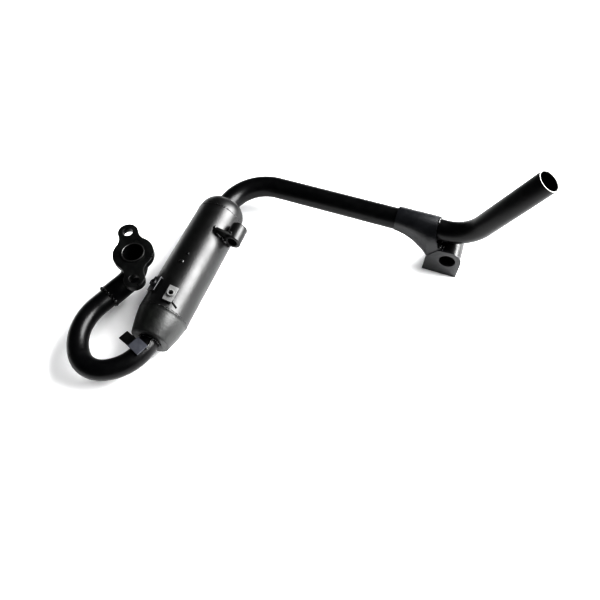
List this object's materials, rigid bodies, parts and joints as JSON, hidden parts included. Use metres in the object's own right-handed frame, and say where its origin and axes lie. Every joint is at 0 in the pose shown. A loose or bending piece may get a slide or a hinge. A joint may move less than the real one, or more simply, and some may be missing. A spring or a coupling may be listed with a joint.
{
  "type": "kart exhaust system",
  "caption": "Two-stroke kart exhaust: stud flange, looped header, silencer and a long tail pipe with a raised outlet and mounting bushes.",
  "frame": {"origin": "midway between the two stud holes, on the flange's mating face", "axes": "+Z out of the flange's mating face, +Y along the silencer from its inlet to its outlet, +X along the tail pipe's long straight towards the outlet"},
  "size_m": [0.3771, 0.2738, 0.1385],
  "materials": {
    "black_enamel": "gloss black stove enamel",
    "bracket_enamel": "satin black stove enamel",
    "painted_weld": "gloss black enamel over a weld bead",
    "bright_port": "gloss black enamel, worn bright at the port's rim",
    "bare_steel": "bare steel, heat tinted"
  },
  "bodies": {
    "root": {"flange": "black_enamel", "port_elbow": "bright_port", "flange_weld": "painted_weld", "socket_weld": "painted_weld", "header_pipe": "black_enamel", "inlet_cone": "black_enamel", "inlet_plate": "black_enamel", "inlet_weld": "painted_weld", "silencer_barrel": "black_enamel", "front_seam": "painted_weld", "rear_seam": "painted_weld", "outlet_dome": "black_enamel", "outlet_plate": "black_enamel", "outlet_weld": "painted_weld", "core_tube": "bare_steel", "front_baffle": "bare_steel", "rear_baffle": "bare_steel", "shield_tab_left": "bracket_enamel", "shield_tab_top": "bracket_enamel", "shield_nut_left": "bracket_enamel", "shield_nut_top": "bracket_enamel", "shield_wire": "black_enamel", "plug_welds": "painted_weld", "cross_tab": "bracket_enamel", "cross_tab_weld": "painted_weld", "side_web": "black_enamel", "side_bush": "black_enamel", "side_web_weld": "painted_weld", "tail_pipe": "black_enamel", "tail_bracket": "bracket_enamel", "tail_bush": "black_enamel", "tail_bush_weld": "painted_weld", "tail_bracket_weld": "painted_weld"}
  },
  "joints": []
}
